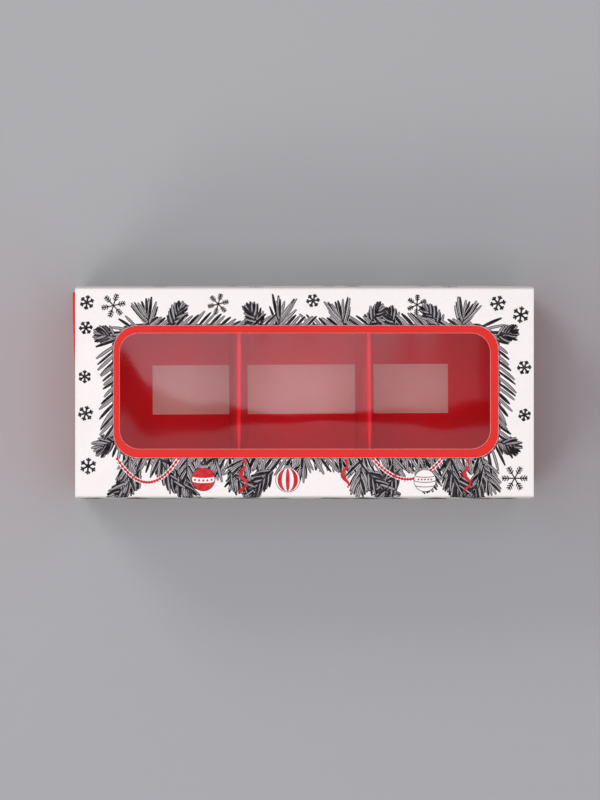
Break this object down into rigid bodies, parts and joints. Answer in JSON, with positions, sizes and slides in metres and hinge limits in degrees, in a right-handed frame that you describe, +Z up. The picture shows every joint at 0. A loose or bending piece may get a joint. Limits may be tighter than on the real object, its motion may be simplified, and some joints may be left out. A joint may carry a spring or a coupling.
{
  "type": "sweet box",
  "caption": "Folded board sweet box: a printed sleeve with a clear film window, open at both ends, and a red tray with folded dividers that slides out either way.",
  "frame": {"origin": "middle of the closed box's footprint, on the surface that it stands on", "axes": "+X along the box, to the right in the picture; +Y to the back; +Z up, out through the window"},
  "size_m": [0.1207, 0.0568, 0.055],
  "materials": {
    "sleeve_board": "matte",
    "tray_board": "satin",
    "divider_card": "satin",
    "film": "gloss",
    "glue": "satin"
  },
  "bodies": {
    "sleeve": {"sleeve_top": "sleeve_board", "sleeve_front": "sleeve_board", "sleeve_back": "sleeve_board", "sleeve_bottom": "sleeve_board", "sleeve_glue_flap": "sleeve_board", "seam_glue": "glue", "window_film": "film", "window_glue": "glue"},
    "tray": {"tray_floor": "tray_board", "tray_front_wall": "tray_board", "tray_back_wall": "tray_board", "tray_left_wall": "tray_board", "tray_right_wall": "tray_board", "tray_front_liner": "tray_board", "tray_back_liner": "tray_board", "tray_left_liner": "tray_board", "tray_right_liner": "tray_board", "floor_flap_front": "tray_board", "floor_flap_back": "tray_board", "floor_flap_left": "tray_board", "floor_flap_right": "tray_board", "corner_tab_front_left": "tray_board", "corner_tab_front_right": "tray_board", "corner_tab_back_left": "tray_board", "corner_tab_back_right": "tray_board", "divider_left": "divider_card", "divider_right": "divider_card"}
  },
  "joints": [
    {"name": "tray_slide", "type": "slide", "parent": "sleeve", "child": "tray", "axis": [1, 0, 0], "range_m": [-0.125, 0.125]}
  ]
}
